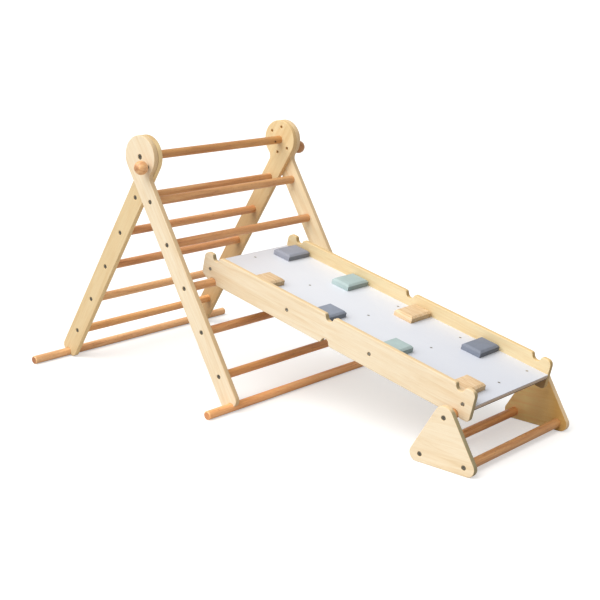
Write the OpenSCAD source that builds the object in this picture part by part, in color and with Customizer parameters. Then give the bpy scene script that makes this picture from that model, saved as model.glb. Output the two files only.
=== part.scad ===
// Folding climbing triangle with a hooked-on climbing ramp and a small ramp stand.
// X runs from the rear ladder's foot towards the ramp stand, Y runs along the rungs
// (minus Y is the near side), Z is up. The floor is z = 0 and the origin is the centre
// of the footprint box.

/* [Ladders] */
// Angle between the two ladders when the triangle stands open
open_angle = 62.6; // [56:0.2:66]
// Distance from the pivot axis to the foot bar axis, measured along a rail
foot_dist = 962; // [920:1:1000]
// Distance from the pivot axis to the first rung, measured along a rail
rung_first = 163; // [155:1:175]
// Spacing of the rungs along a rail
rung_pitch = 170.5; // [165:0.5:172]
// Diameter of the rungs and foot bars
rung_d = 32; // [28:1:34]
// Overall width over the outer (front) rails
front_w = 794; // [700:2:860]
// Thickness of the ladder rails and stand plates
ply = 20; // [18:0.5:22]
// Gap between an outer and an inner rail
rail_gap = 1.5; // [1:0.1:3]
// Width of a rail
rail_w = 80; // [76:1:84]
// Radius of the round head of a rail
head_r = 78; // [76:1:84]
// Sideways offset of the rail's centre line from the pivot, towards the inside
rail_off = 38; // [34:0.5:39]
// Radius of the hollow neck between head and rail
neck_r = 28; // [15:1:40]
// Radius of the lower corners of a rail
toe_r = 25; // [22:1:30]
// Length of a foot bar
foot_bar_length = 1060; // [900:5:1100]
// How far the front foot bar sits towards the far side, and the rear one towards the near side
foot_bar_shift = 15; // [0:1:25]

/* [Pivot and locks] */
// Diameter of the pivot bolts
pivot_d = 8; // [6:1:10]
// Distance of the lock pins from the pivot axis
index_r = 52; // [46:1:58]
// Direction of the lock pin from the pivot, below the horizontal at rest
index_a = 38; // [30:1:45]
// Diameter of the lock pins
pin_d = 10; // [8:1:12]
// Stroke of a lock pin between pulled out and pushed in
pin_stroke = 8; // [6:0.5:12]
// Diameter of the wooden ball knob on a lock pin
knob_d = 51; // [40:1:54]

/* [Ramp] */
// Distance between the hook notch and the stand notch
ramp_span = 1110; // [1080:5:1150]
// How far the side panels and the board run past the end notches
ramp_end = 59; // [55:1:80]
// Height of the side panels
panel_h = 108; // [100:1:120]
// Thickness of the side panels
panel_t = 18; // [15:0.5:20]
// Sideways place of the ramp and its stand on the rung
ramp_shift = -14; // [-60:1:60]
// Overall width of the ramp over the side panels
ramp_w = 478; // [440:2:520]
// Radius of the half-round notches that sit on a rung
notch_r = 16.6; // [16.6:0.1:18]
// Depth of a notch centre inside the panel's edge
notch_in = 5; // [4:0.5:8]
// Thickness of the plywood board
board_t = 15; // [9:0.5:18]
// Thickness of the smooth pale facing on the board
face_t = 1; // [0.8:0.1:1.5]
// Height of the board's top above the notch centres
board_top = 53; // [48:1:60]
// Width of a cross batten under the board
batten_w = 45; // [30:1:60]
// Thickness of a cross batten under the board
batten_t = 18; // [12:1:20]

/* [Climbing blocks] */
// Size of a block along the ramp
block_l = 80; // [60:1:90]
// Size of a block across the ramp
block_w = 120; // [100:1:130]
// Height of a block
block_h = 24; // [15:1:30]
// Chamfer on a block's top edges
block_c = 7; // [2:0.5:9]
// Distance of the block rows from the ramp's centre line
block_y = 155; // [150:1:158]

/* [Stand] */
// Height of the stand's top bar axis above the floor
stand_h = 172; // [160:1:185]
// Half distance between the two bottom bars
stand_half = 85; // [75:1:90]
// Height of the bottom bars' axes above the floor
stand_low = 28; // [24:1:32]
// Overall width over the stand plates
stand_w = 592; // [560:2:640]
// Half distance between the bottom corner centres of a plate
plate_half = 97; // [90:1:105]
// Radius of the bottom corners of a plate
plate_r = 28; // [24:1:28]
// Radius of the top of a plate
plate_top_r = 38; // [34:1:42]

/* [Hidden] */
$fn = 96;
half = open_angle / 2;
rr = rung_d / 2;
pivot_z = foot_dist * cos(half) + rail_off * sin(half) + rr;
outer_y = front_w / 2;                 // outer face of a front rail
outer_in = outer_y - ply;              // inner face of a front rail
inner_y = outer_in - rail_gap;         // outer face of a rear rail
inner_in = inner_y - ply;              // inner face of a rear rail
rail_lo = -rail_off - rail_w / 2;      // inner edge of a rail, across
rail_hi = -rail_off + rail_w / 2;      // outer edge of a rail, across
rail_end = foot_dist + 3;              // lower end of a rail, along
rung_s = [for (k = [0:4]) rung_first + k * rung_pitch];
hook_s = rung_s[2];                    // the ramp hangs on the third front rung
hook_x = hook_s * sin(half) - rail_off * cos(half);
hook_z = pivot_z - hook_s * cos(half) - rail_off * sin(half);
slope = asin((hook_z - stand_h) / ramp_span);
stand_x = hook_x + ramp_span * cos(slope);
// the footprint box in X: rear rail toe to stand plate
x_lo = -((rail_end - toe_r) * sin(half) + (rail_hi - toe_r) * cos(half)) - toe_r;
x_hi = stand_x + plate_half + plate_r;
x_mid = (x_lo + x_hi) / 2;
// angle the rear ladder turns from rest to each index position of the lock
index_turns = [0, 180 - open_angle, 180, -open_angle];
pin_r = pin_d / 2;
screw_head_r = 7.5;
screw_head_t = 2;
screw_r = 3;
screw_len = 58;
sink = 1.6;                            // depth of a screw head's recess
panel_lo = -notch_in;
panel_hi = panel_h - notch_in;
panel_y = ramp_w / 2;
board_half = panel_y - panel_t;
board_lo = board_top - face_t - board_t;
ramp_mid = ramp_span / 2;
panel_screw_x = [for (d = [-577, -189, 189, 577]) ramp_mid + d];
panel_screw_z = board_lo + board_t / 2;
batten_x = [for (k = [-2:2]) ramp_mid - 9 + k * 283];
batten_screw_y = [-175, 0, 175];
far_block_x = [for (k = [0:3]) ramp_mid - 528 + 300 * k];
near_block_x = [for (k = [0:3]) ramp_mid - 376 + 300 * k];
board_screw_r = 2.5;
board_screw_head_r = 5;

ply_col = [0.93, 0.84, 0.68];
beech_col = [0.76, 0.50, 0.31];
steel_col = [0.45, 0.44, 0.40];
face_col = [0.87, 0.89, 0.93];
grey_col = [0.55, 0.57, 0.62];
mint_col = [0.70, 0.80, 0.77];
natural_col = [0.94, 0.80, 0.60];

// ---- placing ----------------------------------------------------------------

// Ladder frame: origin on the pivot axis, x across the rail (outwards), -z along it.
module at_front() translate([-x_mid, 0, pivot_z]) rotate([0, -half, 0]) children();
module at_rear() translate([-x_mid, 0, pivot_z]) mirror([1, 0, 0]) rotate([0, -half, 0]) children();
// Ramp frame: origin on the hook rung's axis, x down the ramp, z normal to the board.
module at_ramp() translate([hook_x - x_mid, ramp_shift, hook_z]) rotate([0, slope, 0]) children();
// Stand frame: origin on the floor under the top bar.
module at_stand() translate([stand_x - x_mid, ramp_shift, 0]) children();
// The far side is the near side mirrored.
module far_side() mirror([0, 1, 0]) children();
// A flat sheet drawn in x-z, standing from y0 to y0 + t.
module sheet_y(y0, t) translate([0, y0 + t, 0]) rotate([90, 0, 0]) linear_extrude(t) children();
// A round bar or hole along Y at [x, z], from ya to yb.
module along_y(x, z, r, ya, yb) translate([x, ya, z]) rotate([-90, 0, 0]) cylinder(r = r, h = yb - ya);

function arc(cx, cy, r, a0, a1, n) = [for (i = [0:n]) let (a = a0 + (a1 - a0) * i / n) [cx + r * cos(a), cy + r * sin(a)]];
function rev(v) = [for (i = [len(v) - 1:-1:0]) v[i]];

// ---- ladder parts -----------------------------------------------------------

// Outline of a rail: round head, hollow neck on the outer side, straight rail, round toes.
module rail_outline() {
    cx = rail_hi + neck_r;
    cs = sqrt(pow(head_r + neck_r, 2) - cx * cx);
    ta = atan2(cs, -cx);               // direction from the neck centre to the head's centre
    circle(r = head_r);
    translate([rail_lo, -rail_end + toe_r]) square([rail_w, rail_end - toe_r]);
    translate([rail_lo + toe_r, -rail_end]) square([rail_w - 2 * toe_r, toe_r + 1]);
    translate([rail_lo + toe_r, -rail_end + toe_r]) circle(r = toe_r);
    translate([rail_hi - toe_r, -rail_end + toe_r]) circle(r = toe_r);
    // the web that fills the neck, up to the hollow arc
    polygon(concat([[rail_hi - 12, -cs - 3], [rail_hi - 0.3, -cs - 3]],
        rev(arc(cx, -cs, neck_r, ta + 1.5, 180, 14)),
        [[cx + (neck_r + 0.6) * cos(ta), -cs + (neck_r + 0.6) * sin(ta)], [0, -head_r * 0.5]]));
}

// Screw recess and clearance hole from the outer face at y = -yo, through to yi.
module rail_screw_hole(x, z, yo, yi) {
    along_y(x, z, screw_r + 0.1, -yo - 1, -yi + 1);
    along_y(x, z, screw_head_r + 0.1, -yo - 1, -yo + sink);
}

// Notch in the toe of a rail where the foot bar lies, and the hole for its screw.
module toe_notch(yo, yi) {
    along_y(-rail_off, -foot_dist, rr + 0.05, -yo - 1, -yi + 1);
    translate([-rail_off, -(yo + yi) / 2, -foot_dist]) cylinder(r = 2.6, h = rr + 42);
}

module front_rail() {
    difference() {
        sheet_y(-outer_y, ply) rail_outline();
        for (s = rung_s) rail_screw_hole(-rail_off, -s, outer_y, outer_in);
        toe_notch(outer_y, outer_in);
        along_y(0, 0, pivot_d / 2 + 0.08, -outer_y - 1, -outer_in + 1);
        along_y(0, 0, 9.6, -outer_y - 1, -outer_y + 6);
        // bore in which the lock pin slides
        rotate([0, half, 0]) along_y(index_r * cos(index_a), -index_r * sin(index_a),
            pin_r + 0.08, -outer_y - 1, -outer_in + 1);
    }
}

module rear_rail() {
    difference() {
        sheet_y(-inner_y, ply) rail_outline();
        for (s = rung_s) rail_screw_hole(-rail_off, -s, inner_y, inner_in);
        toe_notch(inner_y, inner_in);
        along_y(0, 0, pivot_d / 2 + 0.1, -inner_y - 1, -inner_in + 1);
        // index holes, seen in the mirrored rear frame
        for (t = index_turns) rotate([0, half, 0]) mirror([1, 0, 0])
            along_y(index_r * cos(-index_a + t), index_r * sin(-index_a + t),
                pin_r + 0.4, -inner_y - 1, -inner_in + 1);
    }
}

// A rung between two faces at +-yi, drilled in both ends for its screws.
module rung(x, z, yi) {
    difference() {
        along_y(x, z, rr, -yi, yi);
        along_y(x, z, screw_r + 0.1, -yi - 1, -yi + 42);
        along_y(x, z, screw_r + 0.1, yi - 42, yi + 1);
    }
}

// A foot bar, with rounded ends, drilled across for the two screws that hold it to the rails.
module foot_bar(y_mid, ys) {
    e = 3;
    half_len = foot_bar_length / 2;
    difference() {
        translate([-rail_off, y_mid, -foot_dist]) rotate([-90, 0, 0]) union() {
            translate([0, 0, -half_len + e]) cylinder(r = rr, h = 2 * (half_len - e));
            translate([0, 0, -half_len]) cylinder(r1 = rr - e, r2 = rr, h = e);
            translate([0, 0, half_len - e]) cylinder(r1 = rr, r2 = rr - e, h = e);
        }
        for (y = [-ys, ys]) translate([-rail_off, y, -foot_dist]) {
            translate([0, 0, -rr - 1]) cylinder(r = 2.6, h = 2 * rr + 2);
            translate([0, 0, -rr - 1]) cylinder(r = 5.1, h = 6);
        }
    }
}

// A flat-headed screw with a hexagon socket, head outwards at y = -yo.
module flat_screw(x, z, yo, len) {
    difference() {
        union() {
            along_y(x, z, screw_head_r, -yo + sink - screw_head_t, -yo + sink);
            along_y(x, z, screw_r, -yo + sink, -yo + sink + len);
        }
        translate([x, -yo + sink - screw_head_t - 1, z]) rotate([-90, 0, 0]) cylinder(r = 2.6, h = 2.3, $fn = 6);
    }
}

module rung_screws(yo) {
    for (s = rung_s) {
        flat_screw(-rail_off, -s, yo, screw_len);
        far_side() flat_screw(-rail_off, -s, yo, screw_len);
    }
}

// Screws that run up through the foot bar into the ends of the rails.
module foot_screws(ys) {
    for (y = [-ys, ys]) translate([-rail_off, y, -foot_dist]) {
        difference() {
            translate([0, 0, -rr + 1.2]) cylinder(r = 5, h = 3.8);
            translate([0, 0, -rr + 0.2]) cylinder(r = 2, h = 3, $fn = 6);
        }
        translate([0, 0, -rr + 5]) cylinder(r = 2.5, h = rr + 40 + rr - 5 - 0.5);
    }
}

module front_rail_near() { color(ply_col) at_front() front_rail(); }
module front_rail_far() { color(ply_col) far_side() at_front() front_rail(); }
module front_rung(k) { color(beech_col) at_front() rung(-rail_off, -rung_s[k], outer_in); }
module front_foot_bar() { color(beech_col) at_front() foot_bar(foot_bar_shift, (outer_y + outer_in) / 2); }
module front_rung_screws() { color(steel_col) at_front() rung_screws(outer_y); }
module front_foot_screws() { color(steel_col) at_front() foot_screws((outer_y + outer_in) / 2); }

module rear_rail_near() { color(ply_col) at_rear() rear_rail(); }
module rear_rail_far() { color(ply_col) far_side() at_rear() rear_rail(); }
module rear_rung(k) { color(beech_col) at_rear() rung(-rail_off, -rung_s[k], inner_in); }
module rear_foot_bar() { color(beech_col) at_rear() foot_bar(-foot_bar_shift, (inner_y + inner_in) / 2); }
module rear_rung_screws() { color(steel_col) at_rear() rung_screws(inner_y); }
module rear_foot_screws() { color(steel_col) at_rear() foot_screws((inner_y + inner_in) / 2); }

// ---- pivot ------------------------------------------------------------------

nut_y = inner_in - 40;                 // barrel nut's distance from the middle

module at_pivot() translate([-x_mid, 0, pivot_z]) children();

// The top rung lies on the pivot axis between the two inner heads.
module top_rung() {
    color(beech_col) at_pivot() difference() {
        along_y(0, 0, rr, -inner_in, inner_in);
        for (m = [0, 1]) mirror([0, m, 0]) {
            along_y(0, 0, pivot_d / 2 + 0.1, -inner_in - 1, -inner_in + 58);
            rotate([0, 15, 0]) translate([-9, -nut_y, 0]) rotate([0, 90, 0]) cylinder(r = 5.1, h = rr + 10);
        }
    }
}

// Steel barrel nuts that sit across the top rung and take the pivot bolts.
module pivot_barrel_nuts() {
    color(steel_col) at_pivot() for (m = [0, 1]) mirror([0, m, 0]) difference() {
        rotate([0, 15, 0]) translate([-9, -nut_y, 0]) rotate([0, 90, 0]) cylinder(r = 5, h = 20);
        along_y(0, 0, pivot_d / 2 + 0.05, -nut_y - 8, -nut_y + 8);
    }
}

// Two bolts, one at each end of the pivot axis, with hexagon sockets.
module pivot_bolts() {
    color(steel_col) at_pivot() for (m = [0, 1]) mirror([0, m, 0]) difference() {
        union() {
            along_y(0, 0, 7.5, -outer_y - 0.2, -outer_y + 4.4);
            along_y(0, 0, pivot_d / 2, -outer_y + 4.4, -inner_in + 54);
        }
        translate([0, -outer_y - 1.2, 0]) rotate([-90, 0, 0]) cylinder(r = 3.2, h = 3.6, $fn = 6);
    }
}

// A flat ring on the pivot axis between y = ya and y = yb, with one like it at the far side.
module pivot_ring(r, ya, yb) {
    at_pivot() for (m = [0, 1]) mirror([0, m, 0]) difference() {
        along_y(0, 0, r, ya, yb);
        along_y(0, 0, pivot_d / 2 + 0.1, ya - 1, yb + 1);
    }
}

// Washers under the bolt heads.
module pivot_washers() { color(steel_col) pivot_ring(9, -outer_y + 4.4, -outer_y + 5.7); }
// Spacer rings between the outer and inner heads.
module pivot_spacers() { color(steel_col) pivot_ring(14, -inner_y - rail_gap + 0.3, -inner_y); }

// ---- locks ------------------------------------------------------------------

// Lock frame: on the pin's axis at the outer face of the near outer head, pulled out.
module at_lock() translate([index_r * cos(index_a) - x_mid, -outer_y, pivot_z - index_r * sin(index_a)]) children();

// Wooden ball with a flat base; at rest it stands off the head by the pin's stroke.
module lock_knob() {
    kr = knob_d / 2;
    base = pin_stroke + 0.3;
    color(beech_col) at_lock() difference() {
        intersection() {
            translate([0, -base - kr + 3, 0]) rotate([90, 0, 0]) sphere(r = kr);
            translate([-kr - 1, -base - 2 * kr - 4, -kr - 1]) cube([2 * kr + 2, 2 * kr + 4, 2 * kr + 2]);
        }
        along_y(0, 0, pin_r + 0.05, -base - 30, -base + 1);
    }
}

// Steel pin from inside the knob to just inside the outer head's inner face.
module lock_pin() {
    base = pin_stroke + 0.3;
    tip = 1.2;
    color(steel_col) at_lock() rotate([-90, 0, 0]) {
        translate([0, 0, -base - 29.5]) cylinder(r = pin_r, h = base + 29.5 + ply - tip - 0.2);
        translate([0, 0, ply - tip - 0.2]) cylinder(r1 = pin_r, r2 = pin_r - tip, h = tip);
    }
}

module near_lock_knob() { lock_knob(); }
module near_lock_pin() { lock_pin(); }
module far_lock_knob() { far_side() lock_knob(); }
module far_lock_pin() { far_side() lock_pin(); }

// ---- ramp -------------------------------------------------------------------

// A half-round notch with flared lips, opening upwards (up = 1) or downwards (up = -1).
module notch(x, up) {
    z = up > 0 ? panel_hi - notch_in : 0;
    // one lip; the other one mirrors it
    lip = [[notch_r, 0], [notch_r + 0.8, up * (notch_in - 3.6)], [notch_r + 3.2, up * (notch_in - 1.2)],
        [notch_r + 6.6, up * (notch_in + 0.2)], [notch_r + 11, up * (notch_in + 0.8)], [notch_r + 11, up * (notch_in + 4)]];
    translate([x, z]) {
        circle(r = notch_r);
        polygon(concat(lip, rev([for (p = lip) [-p[0], p[1]]])));
    }
}

// Outline of a side panel: a plank with round corners, three notches along each edge,
// and the hook end's underside cut back so that it drops over a rung.
module panel_outline() {
    r = 14;                            // lower corner
    rt = 20;                           // upper corners
    x0 = -ramp_end;
    x1 = ramp_span + ramp_end;
    difference() {
        polygon(concat(arc(x1 - rt, panel_hi - rt, rt, 0, 90, 8), arc(x0 + rt, panel_hi - rt, rt, 90, 180, 8),
            arc(x0 + 10, panel_lo + 30, 10, 180, 245, 6), arc(-notch_r - 9, panel_lo + 14, 7, 245, 270, 3), [[-notch_r - 2, panel_lo + 7], [-notch_r + 4, panel_lo]],
            arc(x1 - r, panel_lo + r, r, 270, 360, 8)));
        for (x = [0, ramp_mid, ramp_span]) { notch(x, 1); notch(x, -1); }
    }
}

module ramp_panel() {
    difference() {
        sheet_y(-panel_y, panel_t) panel_outline();
        for (x = panel_screw_x) {
            along_y(x, panel_screw_z, board_screw_r + 0.1, -panel_y - 1, -panel_y + panel_t + 1);
            along_y(x, panel_screw_z, 6.1, -panel_y - 1, -panel_y + sink);
        }
    }
}
module ramp_panel_near() { color(ply_col) at_ramp() ramp_panel(); }
module ramp_panel_far() { color(ply_col) at_ramp() far_side() ramp_panel(); }

module block_screw_spots() {
    for (x = far_block_x) for (d = [-30, 30]) translate([x, block_y + d, 0]) children();
    for (x = near_block_x) for (d = [-30, 30]) translate([x, -block_y + d, 0]) children();
}
module board_screw_spots() for (x = batten_x) for (y = batten_screw_y) translate([x, y, 0]) children();

// Plywood board between the side panels.
module ramp_board() {
    color(ply_col) at_ramp() difference() {
        translate([-ramp_end, -board_half, board_lo]) cube([ramp_span + 2 * ramp_end, 2 * board_half, board_t]);
        board_screw_spots() translate([0, 0, board_lo - 1]) cylinder(r = board_screw_r + 0.1, h = board_t + 2);
        block_screw_spots() translate([0, 0, board_lo - 1]) cylinder(r = board_screw_r + 0.1, h = board_t + 2);
        for (x = panel_screw_x) for (m = [0, 1]) mirror([0, m, 0])
            along_y(x, panel_screw_z, board_screw_r + 0.1, -board_half - 1, -board_half + 36);
    }
}

// Thin smooth facing glued to the board.
module ramp_board_face() {
    color(face_col) at_ramp() difference() {
        translate([-ramp_end, -board_half, board_top - face_t]) cube([ramp_span + 2 * ramp_end, 2 * board_half, face_t]);
        board_screw_spots() translate([0, 0, board_top - 3]) cylinder(r = board_screw_head_r + 0.1, h = 4);
        block_screw_spots() translate([0, 0, board_top - 3]) cylinder(r = board_screw_r + 0.1, h = 4);
    }
}

// Five battens across the underside of the board.
module ramp_battens() {
    color(ply_col) at_ramp() for (x = batten_x) difference() {
        translate([x - batten_w / 2, -board_half + 1, board_lo - batten_t]) cube([batten_w, 2 * board_half - 2, batten_t]);
        for (y = batten_screw_y) translate([x, y, board_lo - 15]) cylinder(r = board_screw_r + 0.1, h = 20);
    }
}

// A block with chamfered top edges, centred on [x, y] on the board.
module block_body(x, y) {
    at_ramp() translate([x, y, board_top]) difference() {
        intersection() {
            translate([0, block_w / 2, 0]) rotate([90, 0, 0]) linear_extrude(block_w)
                polygon([[-block_l / 2, 0], [block_l / 2, 0], [block_l / 2, block_h - block_c], [block_l / 2 - block_c, block_h],
                    [-block_l / 2 + block_c, block_h], [-block_l / 2, block_h - block_c]]);
            translate([-block_l / 2, 0, 0]) rotate([90, 0, 90]) linear_extrude(block_l)
                polygon([[-block_w / 2, 0], [block_w / 2, 0], [block_w / 2, block_h - block_c], [block_w / 2 - block_c, block_h],
                    [-block_w / 2 + block_c, block_h], [-block_w / 2, block_h - block_c]]);
        }
        for (d = [-30, 30]) translate([0, d, -1]) cylinder(r = board_screw_r + 0.1, h = 19);
    }
}

module climbing_block_1() { color(grey_col) block_body(far_block_x[0], block_y); }
module climbing_block_2() { color(natural_col) block_body(near_block_x[0], -block_y); }
module climbing_block_3() { color(mint_col) block_body(far_block_x[1], block_y); }
module climbing_block_4() { color(grey_col) block_body(near_block_x[1], -block_y); }
module climbing_block_5() { color(natural_col) block_body(far_block_x[2], block_y); }
module climbing_block_6() { color(mint_col) block_body(near_block_x[2], -block_y); }
module climbing_block_7() { color(grey_col) block_body(far_block_x[3], block_y); }
module climbing_block_8() { color(natural_col) block_body(near_block_x[3], -block_y); }

// Screws through the side panels into the edges of the board.
module ramp_panel_screws() {
    color(steel_col) at_ramp() for (x = panel_screw_x) for (m = [0, 1]) mirror([0, m, 0]) difference() {
        union() {
            along_y(x, panel_screw_z, 6, -panel_y + sink - 1.8, -panel_y + sink);
            along_y(x, panel_screw_z, board_screw_r, -panel_y + sink, -panel_y + 52);
        }
        translate([x, -panel_y + sink - 2.8, panel_screw_z]) rotate([-90, 0, 0]) cylinder(r = 2, h = 2, $fn = 6);
    }
}

// Screws down through the board into the battens.
module ramp_board_screws() {
    color(steel_col) at_ramp() board_screw_spots() difference() {
        union() {
            translate([0, 0, board_top - face_t]) cylinder(r = board_screw_head_r, h = face_t);
            translate([0, 0, board_lo - 14]) cylinder(r = board_screw_r, h = board_t + 14);
        }
        translate([0, 0, board_top - 2]) cylinder(r = 1.8, h = 3, $fn = 6);
    }
}

// Screws up through the board into the blocks.
module climbing_block_screws() {
    color(steel_col) at_ramp() block_screw_spots() {
        translate([0, 0, board_lo - 2.5]) cylinder(r = board_screw_head_r, h = 2.5);
        translate([0, 0, board_lo]) cylinder(r = board_screw_r, h = board_t + face_t + 17);
    }
}

// ---- stand ------------------------------------------------------------------

// Triangular outline with round corners: three circles and their common tangents.
module plate_outline() {
    a = atan2(stand_h - plate_r, plate_half);                 // from a bottom corner up to the top
    d = sqrt(pow(stand_h - plate_r, 2) + plate_half * plate_half);
    b = asin((plate_top_r - plate_r) / d);
    t = 90 - a + b;                                           // normal of the right edge, from the x axis
    c1 = [plate_half, plate_r];
    c2 = [0, stand_h];
    n1 = [cos(t), sin(t)];
    translate(c1) circle(r = plate_r);
    translate([-c1[0], c1[1]]) circle(r = plate_r);
    translate(c2) circle(r = plate_top_r);
    polygon([[-c1[0], 0], [c1[0], 0], c1, c1 + plate_r * n1, c2 + plate_top_r * n1, c2,
        [-(c2[0] + plate_top_r * n1[0]), c2[1] + plate_top_r * n1[1]], [-(c1[0] + plate_r * n1[0]), c1[1] + plate_r * n1[1]], [-c1[0], c1[1]]]);
}

stand_spots = [[0, stand_h], [-stand_half, stand_low], [stand_half, stand_low]];
plate_y = stand_w / 2;

module stand_plate() {
    difference() {
        sheet_y(-plate_y, ply) plate_outline();
        for (p = stand_spots) rail_screw_hole(p[0], p[1], plate_y, plate_y - ply);
    }
}
module stand_plate_near() { color(ply_col) at_stand() stand_plate(); }
module stand_plate_far() { color(ply_col) at_stand() far_side() stand_plate(); }
module stand_top_bar() { color(beech_col) at_stand() rung(0, stand_h, plate_y - ply); }
module stand_front_bar() { color(beech_col) at_stand() rung(stand_half, stand_low, plate_y - ply); }
module stand_rear_bar() { color(beech_col) at_stand() rung(-stand_half, stand_low, plate_y - ply); }
module stand_screws() {
    color(steel_col) at_stand() for (p = stand_spots) {
        flat_screw(p[0], p[1], plate_y, screw_len);
        far_side() flat_screw(p[0], p[1], plate_y, screw_len);
    }
}

// ---- nodes ------------------------------------------------------------------

front_rail_near();
front_rail_far();
front_rung(0);  // front_rung_1
front_rung(1);  // front_rung_2
front_rung(2);  // front_rung_3
front_rung(3);  // front_rung_4
front_rung(4);  // front_rung_5
front_foot_bar();
front_rung_screws();
front_foot_screws();
rear_rail_near();
rear_rail_far();
rear_rung(0);  // rear_rung_1
rear_rung(1);  // rear_rung_2
rear_rung(2);  // rear_rung_3
rear_rung(3);  // rear_rung_4
rear_rung(4);  // rear_rung_5
rear_foot_bar();
rear_rung_screws();
rear_foot_screws();
top_rung();
pivot_barrel_nuts();
pivot_bolts();
pivot_washers();
pivot_spacers();
near_lock_knob();
near_lock_pin();
far_lock_knob();
far_lock_pin();
ramp_panel_near();
ramp_panel_far();
ramp_board();
ramp_board_face();
ramp_battens();
climbing_block_1();
climbing_block_2();
climbing_block_3();
climbing_block_4();
climbing_block_5();
climbing_block_6();
climbing_block_7();
climbing_block_8();
ramp_panel_screws();
ramp_board_screws();
climbing_block_screws();
stand_plate_near();
stand_plate_far();
stand_top_bar();
stand_front_bar();
stand_rear_bar();
stand_screws();
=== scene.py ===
import math
import bpy
import bmesh
from mathutils import Matrix, Vector


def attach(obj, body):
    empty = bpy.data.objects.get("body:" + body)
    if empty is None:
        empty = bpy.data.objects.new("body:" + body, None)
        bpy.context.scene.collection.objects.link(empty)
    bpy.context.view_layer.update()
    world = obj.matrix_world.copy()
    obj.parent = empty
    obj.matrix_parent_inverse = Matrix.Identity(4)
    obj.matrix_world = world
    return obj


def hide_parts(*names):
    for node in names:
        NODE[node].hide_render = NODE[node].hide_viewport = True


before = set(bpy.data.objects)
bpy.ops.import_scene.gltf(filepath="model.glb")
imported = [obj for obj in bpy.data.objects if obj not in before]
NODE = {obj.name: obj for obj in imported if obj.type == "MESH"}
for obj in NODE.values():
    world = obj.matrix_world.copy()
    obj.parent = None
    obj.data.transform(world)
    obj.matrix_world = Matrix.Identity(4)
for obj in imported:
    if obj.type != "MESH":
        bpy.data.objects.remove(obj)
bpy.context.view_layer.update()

# ---------------------------------------------------------------- sizes, in millimetres
OPEN = 62.6
HALF = math.radians(OPEN / 2)
FOOT = 962.0
RUNG_S = [163.0 + 170.5 * k for k in range(5)]
FRONT_W = 794.0
PLY = 20.0
GAP = 1.5
RAIL_W = 80.0
HEAD_R = 78.0
OFF = 38.0
NECK_R = 28.0
TOE_R = 25.0
RR = 16.0
PIVOT_Z = FOOT * math.cos(HALF) + OFF * math.sin(HALF) + RR
OUT_Y = FRONT_W / 2
OUT_IN = OUT_Y - PLY
IN_Y = OUT_IN - GAP
IN_IN = IN_Y - PLY
LO = -OFF - RAIL_W / 2
HI = -OFF + RAIL_W / 2
END = FOOT + 3
INDEX_R, INDEX_A = 52.0, 38.0
STROKE = 8.0
HOOK_S = RUNG_S[2]
HOOK_X = HOOK_S * math.sin(HALF) - OFF * math.cos(HALF)
HOOK_Z = PIVOT_Z - HOOK_S * math.cos(HALF) - OFF * math.sin(HALF)
STAND_H, STAND_HALF, STAND_LOW, STAND_W = 172.0, 85.0, 28.0, 592.0
SPAN, RAMP_END, SHIFT = 1110.0, 59.0, -14.0
SLOPE = math.asin((HOOK_Z - STAND_H) / SPAN)
STAND_X = HOOK_X + SPAN * math.cos(SLOPE)
PLATE_HALF, PLATE_R, PLATE_TOP = 97.0, 28.0, 38.0
X_LO = -((END - TOE_R) * math.sin(HALF) + (HI - TOE_R) * math.cos(HALF)) - TOE_R
X_HI = STAND_X + PLATE_HALF + PLATE_R
X_MID = (X_LO + X_HI) / 2
PANEL_T, RAMP_W, NOTCH_R, NOTCH_IN = 18.0, 478.0, 16.6, 5.0
P_LO, P_HI = -NOTCH_IN, 108.0 - NOTCH_IN
PANEL_Y = RAMP_W / 2
BOARD_HALF = PANEL_Y - PANEL_T
BOARD_TOP, FACE_T, BOARD_T = 53.0, 1.0, 15.0
BOARD_LO = BOARD_TOP - FACE_T - BOARD_T
MID = SPAN / 2
PANEL_SCREW_X = [MID + d for d in (-577, -189, 189, 577)]
BATTEN_X = [MID - 9 + 283 * k for k in range(-2, 3)]
BLOCK_Y, BLOCK_H = 155.0, 24.0

MM = 0.001


def place(m):
    """A placing matrix in millimetres, turned to metres."""
    return Matrix.Scale(MM, 4) @ m


# Ladder and ramp frames: local x across (outwards), local z up along the piece, in millimetres.
AT_FRONT = Matrix.Translation((-X_MID, 0, PIVOT_Z)) @ Matrix.Rotation(-HALF, 4, "Y")
AT_REAR = Matrix.Translation((-X_MID, 0, PIVOT_Z)) @ Matrix.Scale(-1, 4, (1, 0, 0)) @ Matrix.Rotation(-HALF, 4, "Y")
AT_RAMP = Matrix.Translation((HOOK_X - X_MID, SHIFT, HOOK_Z)) @ Matrix.Rotation(SLOPE, 4, "Y")
AT_STAND = Matrix.Translation((STAND_X - X_MID, SHIFT, 0))
AT_PIVOT = Matrix.Translation((-X_MID, 0, PIVOT_Z))
FAR = Matrix.Scale(-1, 4, (0, 1, 0))

# ---------------------------------------------------------------- camera, floor, light
AZ, EL, ROLL = math.radians(40.875), math.radians(14.734), math.radians(1.320)
back = Vector((math.sin(AZ) * math.cos(EL), -math.cos(AZ) * math.cos(EL), math.sin(EL)))
right0 = Vector((math.cos(AZ), math.sin(AZ), 0))
up0 = back.cross(right0)
right = right0 * math.cos(ROLL) + up0 * math.sin(ROLL)
up = -right0 * math.sin(ROLL) + up0 * math.cos(ROLL)
cam_data = bpy.data.cameras.new("camera")
cam_data.sensor_width = 36.0
cam_data.sensor_fit = "HORIZONTAL"
cam_data.lens = 1256.2 / 600 * 36.0
cam_data.clip_end = 2000
cam = bpy.data.objects.new("camera", cam_data)
bpy.context.scene.collection.objects.link(cam)
rot = Matrix((right, up, back)).transposed().to_4x4()
cam.matrix_world = Matrix.Translation(((3406.6 - X_MID) * MM, -3429.2 * MM, 1525.9 * MM)) @ rot
bpy.context.scene.camera = cam

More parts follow.
